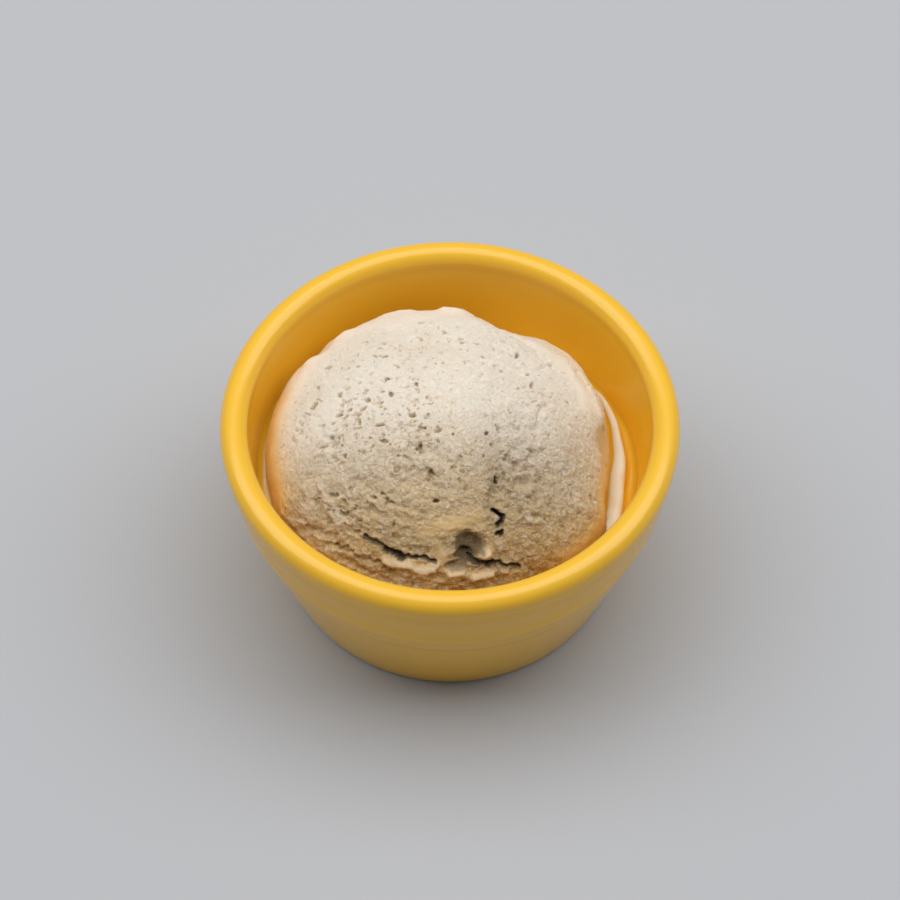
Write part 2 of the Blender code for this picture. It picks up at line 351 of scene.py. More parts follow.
def glazeMaterial():
    # honey-yellow glaze, thinner over the rim and pooled in the creases
    look = {
        "body": rgb(0.96, 0.53, 0.024),
        "thin": rgb(0.93, 0.55, 0.060),
        "pooled": rgb(0.60, 0.215, 0.012),
        "clay": rgb(0.56, 0.47, 0.36),
        "clayGrain": rgb(0.44, 0.35, 0.25),
        "roughness": 0.20,
        "ior": 1.5,
    }
    material, graph = newMaterial("honeyGlaze")
    place = graph.val("ShaderNodeTexCoord", {}, {}, "Object").scaled(1000.0)
    height = place.part(2)
    across = (place * Vector((1.0, 1.0, 0.0))).length()
    cloudy = graph.noise(place, 0.05, 3.0, 0.55)
    speckle = graph.noise(place, 0.9, 2.0, 0.5)
    thin = height.between(42.3, 44.6) * 0.55
    inCrease = height.between(39.6, 40.9) * (1.0 - height.between(41.1, 41.9))
    inCrease = inCrease * (1.0 - across.between(40.0, 40.4))
    underRoll = height.between(35.5, 38.5) * (1.0 - height.between(39.0, 40.6)) * across.between(43.5, 44.2)
    lineBand = height.between(23.7, 24.2) * (1.0 - height.between(24.25, 24.7)) * across.between(40.2, 40.7)
    pooled = inCrease * 0.1 + underRoll * 0.1 + lineBand * 0.5 + cloudy.between(0.55, 0.8) * 0.12
    colour = graph.colours(thin + speckle.between(0.6, 0.75) * 0.08, look["body"], look["thin"])
    colour = graph.colours(pooled.least(1.0), colour, look["pooled"])
    # the foot stands bare of glaze
    bare = 1.0 - (height + (graph.noise(place, 0.35, 2.0) - 0.5) * 0.5).between(0.55, 0.75)
    grain = graph.noise(place, 4.0, 3.0, 0.6)
    clay = graph.colours(grain.between(0.35, 0.7), look["clay"], look["clayGrain"])
    colour = graph.colours(bare, colour, clay)
    roughness = look["roughness"] + (cloudy - 0.5) * 0.06 + bare * 0.6
    peel = graph.noise(place, 0.45, 1.5, 0.4)
    relief = peel * 0.05 + speckle * 0.008 + grain * bare * 0.1
    inputs = {"Base Color": colour, "Roughness": roughness, "IOR": look["ior"]}
    inputs["Normal"] = graph.bump(0.35, relief)
    shader = graph.node("ShaderNodeBsdfPrincipled", {}, inputs)
    closeMaterial(graph, shader)
    return material


def makeCup():
    section = cupSection()
    reach = cupTurning["Path Radius"]
    mesh = bpy.data.meshes.new("cup")
    points = [((r - reach) * mm, -z * mm, 0.0) for r, z in section]  # the sweep turns the section over
    mesh.from_pydata(points, [(i, i + 1) for i in range(len(points) - 1)], [])
    cup = newPiece("glazedCup", mesh)
    runTree(cup, cupTree(cupTurning), cupTurning, glazeMaterial())
    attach(cup, "root")
    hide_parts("cup")
    print("cup turned:", len(cup.data.polygons), "faces")
    return cup


# The scoop


scoopSizes = {
    "clearance": 0.35,  # to the cup's wall
    "centre": (-2.4, 0.0, 29.3),
    "halfWidth": 35.2,
    "rise": 19.6,
    "hub": (-1.0, 0.0, 22.0),  # every ray to the surface starts here
    "coarse": 6,
    "fineCuts": 3,
    "fineCone": 82.0,  # degrees from straight up inside which the mesh is fine
    "fade": (20.0, 29.0),  # relief grows between these heights
}
scoopRelief = {
    "Lump Height": 0.55,
    "Lump Spacing": 9.0,
    "Crumb Height": 0.80,
    "Crumb Spacing": 1.9,
    "Clump Height": 1.2,
    "Clump Spacing": 2.7,
    "Grit Height": 0.12,
    "Grit Spacing": 0.7,
    "Pit Depth": 0.6,
    "Pit Spacing": 2.1,
    "Pinhole Depth": 0.30,
    "Pinhole Spacing": 1.15,
    "Streak Height": 0.40,
    "Streak Spacing": 1.5,
    "Seed": 3,
}

# Places on the scoop are given on its skin laid flat, from straight above the hub outwards.
skinScale = 34.0  # mm for each radian

# Places in the lists were read off the photo and put into mm by a ray cast. Many were then moved.
# cuts in the torn front and along the dome: points, half-width, depth, steepness, darkness, which is painted
# shadow
scoopCuts = (
    (((-18.2, -29.8), (-16.7, -30.5), (-15.0, -31.4), (-13.6, -32.5)), 0.42, 0.9, 3.0, 0.75),
    (((-13.6, -32.8), (-12.2, -33.5), (-10.5, -34.3), (-9.0, -35.0)), 0.66, 1.5, 3.0, 0.9),
    (((-9.0, -34.9), (-6.8, -35.1), (-4.2, -35.7), (-2.2, -36.1)), 0.40, 1.0, 3.0, 0.8),
    (((5.2, -36.0), (7.9, -36.1), (10.8, -36.0)), 0.60, 1.2, 3.0, 0.92),
    (((10.8, -36.0), (13.9, -35.9), (17.3, -35.8)), 0.40, 0.8, 3.0, 0.85),
    (((11.5, -26.2), (12.2, -26.6), (13.0, -27.2)), 0.54, 2.4, 5.0, 1.0),
    (((13.1, -27.0), (12.8, -28.1), (11.9, -28.9)), 0.54, 2.4, 5.0, 1.0),
    (((12.1, -30.2), (12.6, -30.0), (13.1, -29.7)), 0.36, 1.3, 4.0, 1.0),
    (((12.3, -19.0), (12.3, -20.5)), 0.34, 1.3, 4.0, 0.9),
    (((1.6, 8.0), (2.2, 5.0), (1.6, 2.9), (1.9, -0.2), (1.4, -3.3), (1.8, -6.5)), 0.34, 0.42, 2.0, 0.0),
    (((13.1, -17.6), (12.4, -20.7), (10.9, -23.6), (10.6, -24.9)), 1.5, 1.1, 2.0, 0.0),
    (((24.8, 3.0), (23.1, 0.0), (22.7, -2.4), (21.4, -5.3)), 0.7, 0.55, 2.0, 0.0),
    (((22.3, 14.3), (24.4, 16.2)), 0.4, 0.4, 2.0, 0.0),
    (((14.2, -15.0), (17.0, -14.9), (19.4, -13.8)), 0.9, 0.75, 2.0, 0.0),
    (((21.4, -11.6), (23.4, -10.4)), 0.6, 0.6, 2.0, 0.0),
    (((17.0, 24.9), (20.7, 22.0), (23.6, 17.8), (26.9, 14.8)), 0.6, 0.3, 2.0, 0.0),
    (((-30.6, -24.6), (-27.4, -27.0), (-24.4, -28.4)), 0.4, 0.7, 2.0, 0.0),
    (((-26.4, -29.4), (-22.0, -31.7), (-18.6, -33.9), (-15.1, -35.4), (-12.1, -37.7)), 0.36, 0.8, 2.0, 0.0),
    (((-24.0, -33.0), (-18.0, -36.2), (-13.0, -38.8)), 0.4, 0.7, 2.0, 0.0),
)
# ledges, lobes and folds that stand proud: points, half-width, height
scoopRidges = (
    (((-13.6, -35.4), (-10.5, -36.3), (-7.6, -37.0)), 0.9, 0.8),
    (((-6.4, -37.7), (-4.4, -38.1), (-2.4, -37.6), (-1.4, -36.8)), 0.9, 0.75),
    (((1.2, -38.9), (3.0, -38.8), (4.4, -38.2)), 0.9, 0.85),
    (((6.6, -39.4), (8.9, -39.0), (11.2, -38.3)), 0.85, 0.75),
    (((12.8, -37.6), (14.8, -37.5)), 0.55, 0.7),
    (((8.9, -34.8), (10.0, -34.3)), 1.0, 1.2),
    (((-26.6, -20.3), (-23.5, -22.3)), 0.45, 0.55),
    (((-16.8, -23.6), (-14.4, -25.2), (-12.3, -26.0)), 0.5, 0.6),
    (((-22.3, -25.9), (-20.6, -27.1)), 0.5, 0.55),
    (((-29.0, -9.8), (-26.4, -10.2)), 0.6, 0.5),
    (((-14.6, -12.0), (-10.4, -13.0), (-8.0, -14.8)), 0.6, 0.45),
    (((-3.9, -19.6), (-3.4, -17.6), (-4.4, -16.4)), 0.45, 0.45),
    (((33.5, 18.5), (36.0, 13.5), (37.4, 8.6), (38.0, 5.0)), 0.8, 0.35),
    (((36.4, 0.6), (37.4, 3.6), (39.0, 4.6)), 1.0, 0.3),
    (((37.2, -4.6), (39.4, -5.6)), 0.9, 0.4),
    (((0.4, 37.0), (4.0, 37.0)), 2.4, 1.0),
    (((-31.4, 20.0), (-30.6, 21.6)), 1.5, 0.55),
    (((-25.0, 27.6), (-23.4, 29.4)), 1.8, 0.4),
    (((-14.5, 35.4), (-9.0, 36.6)), 2.0, 0.45),
    (((20.0, -22.0), (20.9, -24.6)), 0.8, 0.5),
    (((14.6, -21.0), (18.4, -21.6), (21.0, -23.0)), 1.0, 0.5),
)
# broad places that stand proud or lie low: middle, half-sizes, height, steepness, darkness, which is painted
# shadow in the hole
scoopSwells = (
    ((39.4, -0.8), (3.0, 5.0), -0.8, 1.0, 0.0),
    ((16.5, 35.5), (7.5, 7.0), -2.3, 1.0, 0.0),
    ((4.0, 38.5), (11.0, 6.0), -0.7, 1.0, 0.0),
    ((-30.5, 26.0), (4.0, 4.0), -1.0, 1.0, 0.0),
    ((29.5, 25.0), (6.0, 6.0), 0.7, 1.0, 0.0),
    ((5.6, -33.1), (3.4, 2.1), -1.6, 2.0, 0.74),
    ((4.6, -35.2), (2.0, 1.3), -1.9, 2.0, 0.84),
    ((2.6, -37.0), (2.1, 0.8), -0.9, 2.0, 0.5),
)
# where the sides draw in: middle and spread in degrees round the scoop, depth,
# and the heights between which it grows
scoopTucks = (
    (-3.0, 20.0, 1.3, 37.5, 29.0),
    (-40.0, 16.0, -2.6, 44.0, 34.0),
    (217.0, 16.0, -1.2, 44.0, 34.0),
    (187.0, 30.0, 1.1, 37.0, 28.5),
)
# the largest pits, to about half a millimetre: place, half-sizes, turn in degrees, depth
scoopPits = (
    (-14.5, 15.5, 1.0, 0.4, 0, 0.8),
    (-11.5, 11.5, 0.8, 0.4, -30, 0.8),
    (-6.0, 21.0, 0.4, 0.8, 20, 0.8),
    (0.0, 24.0, 0.5, 0.9, 30, 0.5),
    (-24.5, 5.0, 0.7, 0.7, 20, 0.7),
    (-18.5, 2.0, 0.5, 0.8, 30, 1.1),
    (-15.5, 1.0, 0.7, 0.6, 0, 1.0),
    (-29.5, 3.5, 0.6, 1.1, -30, 1.0),
    (-23.0, -2.0, 0.6, 1.2, -30, 1.2),
    (-15.5, -6.0, 1.0, 0.4, 0, 0.9),
    (-28.0, -8.5, 1.7, 0.5, 0, 1.0),
    (-23.0, -12.5, 0.4, 0.8, -10, 1.2),
    (-8.0, -4.0, 0.7, 0.6, 10, 1.2),
    (-6.0, -12.0, 0.5, 1.4, 20, 1.5),
    (-1.5, -8.5, 0.9, 1.0, -30, 0.8),
    (-14.0, -10.5, 1.3, 0.7, -20, 0.9),
    (-3.5, -19.0, 1.0, 0.9, 20, 1.5),
    (21.0, 8.0, 0.4, 1.5, -20, 0.9),
    (17.5, 17.5, 0.4, 0.7, 0, 0.9),
    (-25.0, -20.0, 1.0, 0.4, -30, 1.3),
    (-13.0, -24.0, 0.7, 0.5, -60, 1.1),
    (-2.0, -25.0, 0.7, 0.4, 0, 1.6),
    (-22.5, -31.0, 1.0, 0.3, -15, 1.3),
)
# and the smaller ones strewn in drifts: middle, spread, how many
strewnPits = {
    "seed": 5,
    "drifts": (
        ((-20.0, 5.0), (7.0, 6.0), 26),
        ((-8.0, 0.0), (5.0, 8.0), 14),
        ((-18.0, -24.0), (7.0, 4.0), 18),
        ((18.0, 9.0), (6.0, 7.0), 12),
        ((-6.0, 19.0), (8.0, 5.0), 11),
        ((8.0, -14.0), (6.0, 4.0), 6),
    ),
    "half": (0.25, 0.45),
    "longest": 2.2,  # length for each width
    "turn": 40.0,
    "depth": (0.5, 1.2),
}
# how the surface differs from place to place, and where light and shade are painted: path, half-width,
# steepness, strength
smoothPlaces = (
    (((-22.0, 30.0), (-28.8, 24.0), (-33.3, 17.7), (-37.2, 10.8), (-39.8, 5.3)), 3.2, 2.4, 0.9),
    (((-39.8, 3.2), (-40.2, -3.2), (-40.6, -9.0), (-38.0, -17.0)), 1.9, 2.4, 0.95),
    (((40.6, -9.0), (38.4, -18.0), (34.0, -25.6), (28.0, -32.0)), 1.8, 2.4, 0.8),
    (((16.5, 26.9), (20.5, 24.6), (26.0, 20.4), (30.5, 15.6), (33.2, 11.0), (34.0, 6.0)), 1.6, 3.0, 0.8),
    (((18.0, 32.0), (27.0, 27.0), (34.5, 19.0)), 0.8, 2.4, 0.6),
    (((40.4, 1.4), (40.4, -2.4)), 2.6, 2.4, 0.9),
    (((-13.2, -35.1), (-7.6, -36.5)), 0.9, 3.0, 0.8),
    (((-6.4, -37.2), (-4.4, -37.6), (-1.4, -36.5)), 0.85, 3.0, 0.8),
    (((1.4, -38.5), (4.2, -38.0)), 0.8, 3.0, 0.9),
    (((6.8, -38.9), (11.0, -38.0)), 0.75, 3.0, 0.9),
    (((8.6, -34.8), (9.9, -34.3)), 1.3, 3.0, 1.0),
    (((-5.0, -31.2), (-1.0, -29.8), (4.0, -29.0), (7.6, -27.9)), 1.4, 2.0, 0.75),
    (((-1.6, -33.8), (-0.2, -36.4)), 1.3, 2.0, 0.85),
    (((-18.0, 31.0), (0.0, 35.0), (12.0, 33.0)), 4.0, 2.4, 0.6),
    (((-30.0, -15.6), (-24.0, -17.4)), 1.6, 2.0, 0.3),
)
# painted orange bounce light from the cup, on the scoop's edges near the wall
paintedGlowPlaces = (
    (((-39.0, 12.0), (-40.6, 4.0), (-41.0, -4.0), (-39.8, -11.0), (-36.6, -18.0)), 3.4, 2.0, 0.85),
    (((40.6, 2.6), (40.6, -3.6)), 2.6, 2.0, 0.4),
    (((41.0, -6.0), (40.6, -13.0), (38.0, -19.0), (34.0, -25.0), (29.0, -31.0), (24.0, -35.0)),
     3.4, 2.0, 0.85),
    (((20.0, 28.5), (29.0, 22.5), (34.5, 15.0)), 1.4, 2.0, 0.3),
    (((-28.0, 27.0), (-36.0, 14.0)), 1.6, 2.0, 0.15),
    (((-34.0, -25.0), (-28.0, -31.5), (-20.0, -37.5)), 2.2, 2.0, 0.5),
    (((24.0, -35.0), (17.0, -39.5)), 2.0, 2.0, 0.3),
)
# painted shade under the ledges and in hollows
shadePlaces = (
    (((-13.0, -30.5), (-6.0, -33.2), (0.5, -33.4)), 2.4, 2.0, 0.45),
    (((-20.0, -33.0), (-12.0, -37.4), (-6.0, -39.4)), 0.9, 2.0, 0.35),
    (((0.0, -36.2), (5.0, -37.0), (12.0, -36.6)), 0.8, 2.0, 0.35),
    (((-34.0, -14.0), (-30.0, -24.0)), 4.0, 2.0, 0.25),
    (((39.4, 4.0), (39.0, -3.0)), 2.6, 2.0, 0.75),
)
# painted highlight on the upward-facing ledges and lobes
ledgeHighlightPlaces = (
    (((-13.6, -35.1), (-10.5, -35.9), (-7.6, -36.6)), 0.75, 2.4, 0.95),
    (((-6.4, -37.3), (-4.4, -37.7), (-2.4, -37.2), (-1.4, -36.5)), 0.7, 2.4, 0.95),
    (((1.2, -38.5), (3.0, -38.5), (4.4, -37.9)), 0.75, 2.4, 0.9),
    (((6.6, -39.0), (8.9, -38.6), (11.2, -37.9)), 0.65, 2.4, 0.85),
    (((12.8, -37.3), (14.8, -37.2)), 0.5, 2.4, 0.7),
    (((8.8, -34.9), (10.0, -34.3)), 1.0, 2.4, 0.9),
    (((-0.6, -34.4), (0.4, -36.0)), 0.9, 2.0, 0.5),
    (((-26.6, -20.3), (-23.5, -22.3)), 0.5, 2.0, 0.5),
    (((-16.8, -23.6), (-12.3, -26.0)), 0.5, 2.0, 0.4),
    (((-22.3, -25.9), (-20.6, -27.1)), 0.5, 2.0, 0.4),
)
# where crumbs cling together, beside the crack and left of it: middle, spread, strength
clumpPlaces = (
    ((18.0, -20.0), (7.5, 9.5), 1.0),
    ((-4.0, -18.0), (9.0, 7.0), 0.7),
    ((-22.0, -22.0), (9.0, 6.0), 0.6),
)
# how far edges wander: amount, spacing and seed, first in wide bends and then in small tears
wandering = {
    "bend": ((0.35, 2.4, 11), (0.35, 2.4, 12)),
    "tear": ((0.28, 0.8, 13), (0.28, 0.8, 14)),
    "ragged": ((0.5, 0.62, 15), (0.35, 1.1, 16)),
    "darkNarrow": 0.22,  # a cut with painted shadow: its slope is narrower than its half-width by this
    "darkWide": 0.04,  # and its painted shadow wider by this
    "darkSteep": 9.0,
}


def wallAt(height):
    s = cupSizes
    across, _, lean = filletCentre()
    top, middle = shoulderRadii()
    heights = [filletCentre()[1] - s["fillet"] * math.sin(math.radians(lean)), s["shoulder"]]
    heights += [(s["shoulder"] + s["topHeight"]) / 2, s["topHeight"], s["rollHeight"], s["rollHeight"] + 40.0]
    radii = [across + s["fillet"] * math.cos(math.radians(lean)), top, middle, s["topAcross"]]
    radii += [s["rollAcross"] - s["rollRadius"], s["rollAcross"] + 40.0]
    return np.interp(height, heights, radii)


def inHollow(points, gap):
    across, high, lean = filletCentre()
    radius = np.hypot(points[:, 0], points[:, 1])
    height = points[:, 2]
    corner = (height < high - cupSizes["fillet"] * math.sin(math.radians(lean))) & (radius > across)
    inFillet = np.hypot(radius - across, height - high) < cupSizes["fillet"] - gap
    return (height > cupSizes["floor"] + gap) & np.where(corner, inFillet, radius < wallAt(height) - gap)


def inDome(points):
    place = (points - np.array(scoopSizes["centre"])) / scoopSizes["halfWidth"]
    up = np.maximum(points[:, 2] - scoopSizes["centre"][2], 0.0) / scoopSizes["rise"]
    return place[:, 0] ** 2 + place[:, 1] ** 2 + up**2 < 1.0


def reachOf(directions, inside):
    hub = np.array(scoopSizes["hub"])
    low = np.zeros(len(directions))
    high = np.full(len(directions), 80.0)
    for _ in range(26):
        middle = (low + high) / 2
        within = inside(hub + directions * middle[:, None])
        low = np.where(within, middle, low)
        high = np.where(within, high, middle)
    return low


def pathDistance(x, y, path):
    nearest = np.full(len(x), np.inf)
    for (ax, ay), (bx, by) in zip(path, path[1:]):
        dx, dy = bx - ax, by - ay
        along = np.clip(((x - ax) * dx + (y - ay) * dy) / (dx * dx + dy * dy), 0.0, 1.0)
        nearest = np.minimum(nearest, np.hypot(x - ax - along * dx, y - ay - along * dy))
    return nearest


def eased(value, low, high):
    t = np.clip((value - low) / (high - low), 0.0, 1.0)
    return t * t * (3.0 - 2.0 * t)


def wander(u, v, size, seed):
    # a smooth uneven field from -1 to 1, so that no edge is a plain curve
    lattice = np.random.default_rng(seed).uniform(-1.0, 1.0, (128, 128))
    x, y = u / size + 64.0, v / size + 64.0
    i, j = np.floor(x).astype(int), np.floor(y).astype(int)
    fx, fy = eased(x - i, 0.0, 1.0), eased(y - j, 0.0, 1.0)
    near = lattice[i % 128, j % 128] * (1.0 - fx) + lattice[(i + 1) % 128, j % 128] * fx
    far = lattice[i % 128, (j + 1) % 128] * (1.0 - fx) + lattice[(i + 1) % 128, (j + 1) % 128] * fx
    return near * (1.0 - fy) + far * fy


def skinOf(points):
    away = points - np.array(scoopSizes["hub"])
    lean = np.arccos(away[:, 2] / np.linalg.norm(away, axis=1)) * skinScale
    turn = np.arctan2(away[:, 1], away[:, 0])
    return lean * np.cos(turn), lean * np.sin(turn), lean, turn


def allPits():
    draw = np.random.default_rng(strewnPits["seed"])
    pits = list(scoopPits)
    for middle, spread, count in strewnPits["drifts"]:
        for _ in range(count):
            u, v = draw.normal(middle, spread)
            half = draw.uniform(*strewnPits["half"])
            length = half * draw.uniform(1.0, strewnPits["longest"])
            turn = draw.uniform(-strewnPits["turn"], strewnPits["turn"])
            pits.append((u, v, length, half, turn, draw.uniform(*strewnPits["depth"])))
    return pits


def along(u, v, path, half, steep):
    return np.exp(-((pathDistance(u, v, path) / half) ** steep))


def placedRelief(u, v):
    def shift(kind):
        return [amount * wander(u, v, spacing, seed) for amount, spacing, seed in wandering[kind]]

    bendU, bendV = shift("bend")
    tearU, tearV = shift("tear")
    bentU, bentV = u + bendU, v + bendV
    tornU, tornV = bentU + tearU, bentV + tearV
    ragged = sum(shift("ragged"))
    height = np.zeros(len(u))
    # masks for painted shade in the cuts and pits, and for painted shadow in the darkest of them
    hollowShade = {"deep": np.zeros(len(u)), "paintedShadow": np.zeros(len(u))}
    for path, half, high in scoopRidges:
        height += high * along(bentU, bentV, path, half, 2.0)
    for path, half, depth, steep, paintedShadow in scoopCuts:
        narrow = wandering["darkNarrow"] if paintedShadow else 0.0
        share = along(tornU, tornV, path, (half - narrow) * (1.0 + 0.5 * ragged), steep)
        height -= depth * share
        hollowShade["deep"] = np.maximum(hollowShade["deep"], share * eased(depth, 0.5, 2.0))
        wide = (half + wandering["darkWide"]) * (1.0 + 0.4 * ragged)
        stain = paintedShadow * along(tornU, tornV, path, wide, wandering["darkSteep"])
        hollowShade["paintedShadow"] = np.maximum(hollowShade["paintedShadow"], stain)
    for (atU, atV), (halfU, halfV), high, steep, paintedShadow in scoopSwells:
        off = ((bentU - atU) / halfU) ** 2 + ((bentV - atV) / halfV) ** 2
        height += high * np.exp(-(off**steep))
        off = ((tornU - atU) / (halfU + 0.2)) ** 2 + ((tornV - atV) / (halfV + 0.2)) ** 2
        hollowShade["paintedShadow"] = np.maximum(hollowShade["paintedShadow"], paintedShadow * np.exp(-(off ** wandering["darkSteep"])))
    for pu, pv, su, sv, turn, depth in allPits():
        c, s = math.cos(math.radians(turn)), math.sin(math.radians(turn))
        a = ((tornU - pu) * c + (tornV - pv) * s) / su
        b = ((tornV - pv) * c - (tornU - pu) * s) / sv
        share = eased(np.exp(-0.6 * (a * a + b * b)) + 0.42 * ragged, 0.5, 0.95)
        height -= depth * 0.7 * share
        hollowShade["deep"] = np.maximum(hollowShade["deep"], share * min(1.0, 0.55 + 0.45 * depth))
    return height, hollowShade


def tuckedIn(turn, height):
    # how far the scoop's sides draw in low down, where they have melted
    inward = np.zeros(len(turn))
    for middle, spread, depth, high, low in scoopTucks:
        off = (np.degrees(turn) - middle + 180.0) % 360.0 - 180.0
        inward += depth * np.exp(-((off / spread) ** 4)) * eased(-height, -high, -low)
    return inward


def surfaceMasks(u, v, lean, turn, z):
    groups = {"smooth": smoothPlaces, "paintedGlow": paintedGlowPlaces, "ledgeHighlight": ledgeHighlightPlaces, "shade": shadePlaces}
    masks = {name: np.zeros(len(u)) for name in groups}
    for name, places in groups.items():
        for path, half, steep, strength in places:
            masks[name] = np.maximum(masks[name], strength * along(u, v, path, half, steep))
    # painted shade and orange bounce light: darker and more orange towards the front, which faces away from
    # the light, and at the right and left edges
    beside = 0.42 * eased(u, 16.0, 38.0) * eased(-v, -14.0, 4.0) * (1.0 - 0.7 * eased(-v, 8.0, 20.0))
    beside += 0.25 * eased(-u, 26.0, 39.0) * eased(-v, -12.0, 4.0)
    masks["low"] = np.minimum(0.85 * eased(-v, 0.0, 31.0) + 0.1 * eased(-v, 26.0, 34.0) + beside, 1.0)
    # pits are thickest on the left and in the middle
    masks["pitted"] = 0.2 + 0.8 * np.exp(-((((u + 14.0) / 21.0) ** 2 + ((v + 5.0) / 19.0) ** 2) ** 1.3))
    # layers that the scoop dragged round the front, strongest on the left
    masks["streaky"] = eased(lean, 18.0, 30.0) * eased(-v - 0.1 * u, 12.0, 25.0)
    masks["streaky"] *= 1.0 - 0.85 * eased(u, 2.0, 18.0)
    front = eased(-v, -2.0, 20.0)
    masks["crumbly"] = 0.3 + 0.12 * eased(u, 2.0, 14.0) + 0.45 * front
    masks["crumbly"] += 0.15 * eased(u, -2.0, 14.0) * eased(-v, -12.0, 6.0)
    masks["crumbly"] *= 1.0 - 0.3 * eased(lean, 33.0, 40.0) * eased(v, -24.0, -14.0)
    masks["grainy"] = eased(u, 10.0, 24.0) * eased(-v, -4.0, 10.0)
    masks["clumpy"] = np.zeros(len(u))
    for (atU, atV), (spreadU, spreadV), strength in clumpPlaces:
        off = ((u - atU) / spreadU) ** 2 + ((v - atV) / spreadV) ** 2
        masks["clumpy"] = np.maximum(masks["clumpy"], strength * np.exp(-(off**1.5)))
    grain = np.stack([turn * 11.0, lean, z], axis=1)
    return masks, grain


def scoopTree(numbers):
    graph, entry, size = shapeTree("roughenScoop", numbers)
    place = graph.val("GeometryNodeInputPosition", {}, {}).scaled(1000.0)
    place = place + graph.val("ShaderNodeCombineXYZ", {}, {0: size["Seed"], 1: size["Seed"], 2: 0.0})

    def stored(name, kind="FLOAT"):
        return graph.val("GeometryNodeInputNamedAttribute", {"data_type": kind}, {0: name})

    smooth, pitted, streaky, crumbly, grainy, clumpy, shown = (
        stored(name) for name in ("smooth", "pitted", "streaky", "crumbly", "grainy", "clumpy", "shown")
    )
    rough = 1.0 - smooth
    bent = place + graph.sway(place, 0.55).scaled(1.6)
    # broad lumps
    lumps = (graph.noise(place, 1.0 / size["Lump Spacing"], 2.0, 0.5) - 0.5) * 2.0 * size["Lump Height"]
    # crumbs: a rough ground of uneven grains, with some sharp creases between them
    ground = (graph.noise(bent, 1.0 / size["Crumb Spacing"], 4.0, 0.62) - 0.5) * 2.0
    crease = (abs(graph.noise(bent, 0.6 / size["Crumb Spacing"], 2.0, 0.5) - 0.5) * 8.0).least(1.0) - 0.8
    crumbs = (ground + crease * 0.22) * size["Crumb Height"] * crumbly
    clumps = graph.noise(bent + Vector((3.0, 23.0, 9.0)), 1.0 / size["Clump Spacing"], 1.5, 0.5) - 0.5
    clumps = clumps.between(-0.13, 0.13) - 0.5
    crumbs = crumbs + clumps * size["Clump Height"] * clumpy
    grit = (graph.noise(place, 1.0 / size["Grit Spacing"], 1.0, 0.5) - 0.5) * 2.0
    grit = grit * size["Grit Height"] * (crumbly + grainy)
    # pits of uneven shape and size, in drifts
    drift = graph.noise(place, 0.14, 1.0)
    edge = 0.675 - pitted * 0.07 - (drift - 0.5) * 0.16 + smooth * 0.3
    field = graph.noise(bent, 1.0 / size["Pit Spacing"], 2.0, 0.55)
    pit = ((field - edge) / 0.075).between(0.0, 1.0)
    holes = graph.noise(bent + Vector((31.0, 7.0, 13.0)), 1.0 / size["Pinhole Spacing"], 1.0, 0.5)
    pinhole = ((holes - edge - 0.012) / 0.06).between(0.0, 1.0)
    # layers dragged round the front: ledges with a steep lower side
    flow = stored("grain", "FLOAT_VECTOR")
    flow = flow + graph.sway(place, 0.3).scaled(2.2)
    layers = graph.noise(flow, 1.0 / size["Streak Spacing"], 3.0, 0.55)
    ledge = (layers.between(0.44, 0.56) - 0.5) * size["Streak Height"] * streaky
    # the relief fades where shadow is painted
    height = (
        lumps
        + (crumbs + grit + ledge) * rough
        - pit * size["Pit Depth"] * rough
        - pinhole * size["Pinhole Depth"] * rough
    ) * shown * (1.0 - stored("paintedShadow"))
    normal = graph.val("GeometryNodeInputNormal", {}, {})
    inputs = {"Geometry": entry.outputs["Geometry"], "Offset": normal.scaled(height * mm)}
    kept = graph.node("GeometryNodeSetPosition", {}, inputs)
    # painted shade in the pits, kept for the colour
    pitShade = (pit * rough).most(pinhole * rough * 0.5) * shown
    # the crumbs' crests, for painted highlight on them and painted shade between them
    crests = (ground * crumbly + clumps * clumpy * 0.5) * rough * shown
    for name, value in (("pit", pitShade), ("crest", crests)):
        kept = graph.node(
            "GeometryNodeStoreNamedAttribute",
            {"data_type": "FLOAT", "domain": "POINT"},
            {"Geometry": kept.outputs[0], "Name": name, "Value": value},
        )
    even = graph.node("GeometryNodeSetShadeSmooth", {}, {0: kept.outputs[0]})
    closeTree(graph, entry, even.outputs[0])
    return graph


